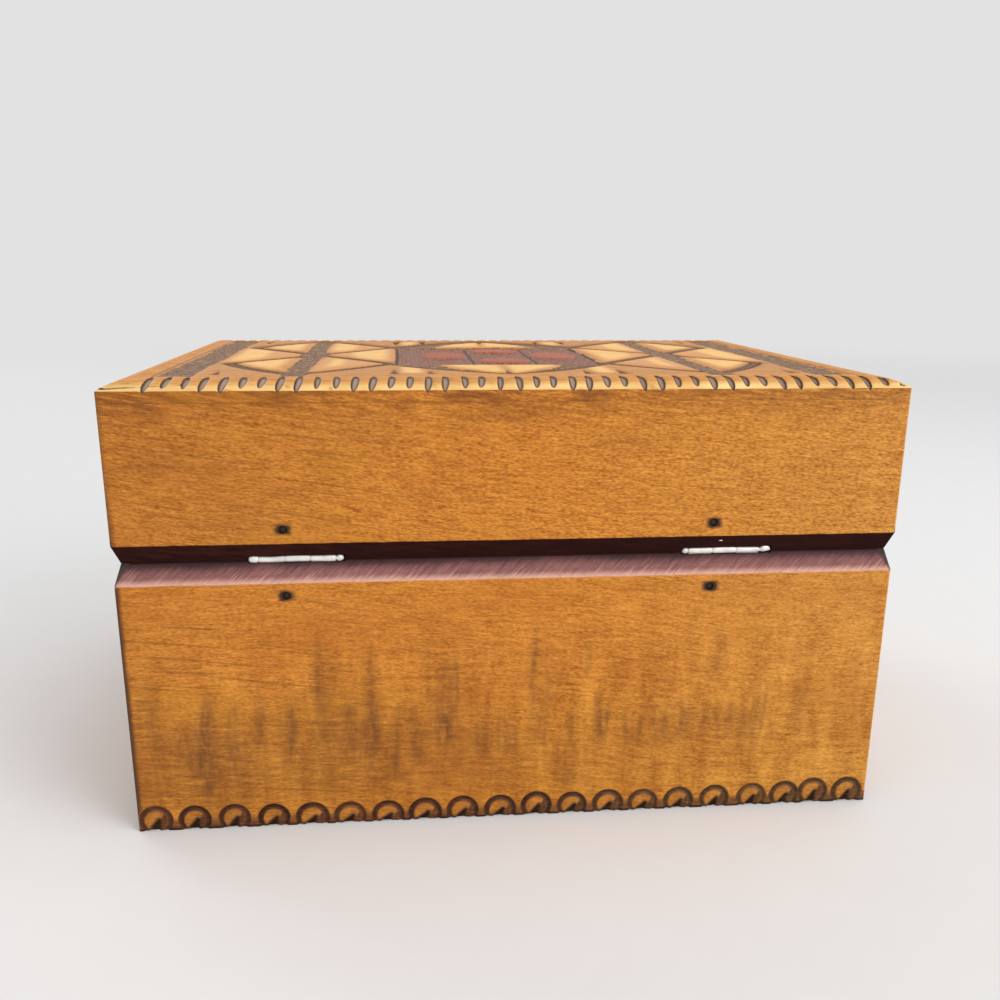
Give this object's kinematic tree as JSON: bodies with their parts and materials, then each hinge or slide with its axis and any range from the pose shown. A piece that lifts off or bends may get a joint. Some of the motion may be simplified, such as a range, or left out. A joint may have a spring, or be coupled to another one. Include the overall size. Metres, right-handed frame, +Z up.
{
  "type": "carved wooden jewelry box",
  "caption": "Rectangular hinged wooden box with a chip-carved and burnt lid, a stained bevelled groove along the seam, and small let-in pin hinges at the back.",
  "frame": {"origin": "middle of the underside, on the table plane", "axes": "+X along the front to the user's right, +Y from the front to the hinged back, +Z up"},
  "size_m": [0.152, 0.114, 0.09],
  "materials": {
    "carved_wood": "satin varnish over burnt and stained carving",
    "varnished_wood": "honey satin varnish",
    "panel_wood": "bare thin plywood",
    "hinge_metal": "nickel plated, slightly dull",
    "brad_metal": "darkened iron"
  },
  "bodies": {
    "base": {"base_front_wall": "varnished_wood", "base_back_wall": "varnished_wood", "base_left_wall": "varnished_wood", "base_right_wall": "varnished_wood", "bottom_panel": "panel_wood", "left_hinge_base_leaf": "hinge_metal", "right_hinge_base_leaf": "hinge_metal", "left_hinge_pin": "hinge_metal", "right_hinge_pin": "hinge_metal", "base_hinge_brads": "brad_metal"},
    "lid": {"lid_top_board": "carved_wood", "lid_front_wall": "varnished_wood", "lid_back_wall": "varnished_wood", "lid_left_wall": "varnished_wood", "lid_right_wall": "varnished_wood", "left_hinge_lid_leaf": "hinge_metal", "right_hinge_lid_leaf": "hinge_metal", "lid_hinge_brads": "brad_metal"}
  },
  "joints": [
    {"name": "lid_hinge", "type": "hinge", "parent": "base", "child": "lid", "pos_m": [0, 0.0556, 0.0563], "axis": [-1, 0, 0], "range_deg": [0, 135]}
  ]
}
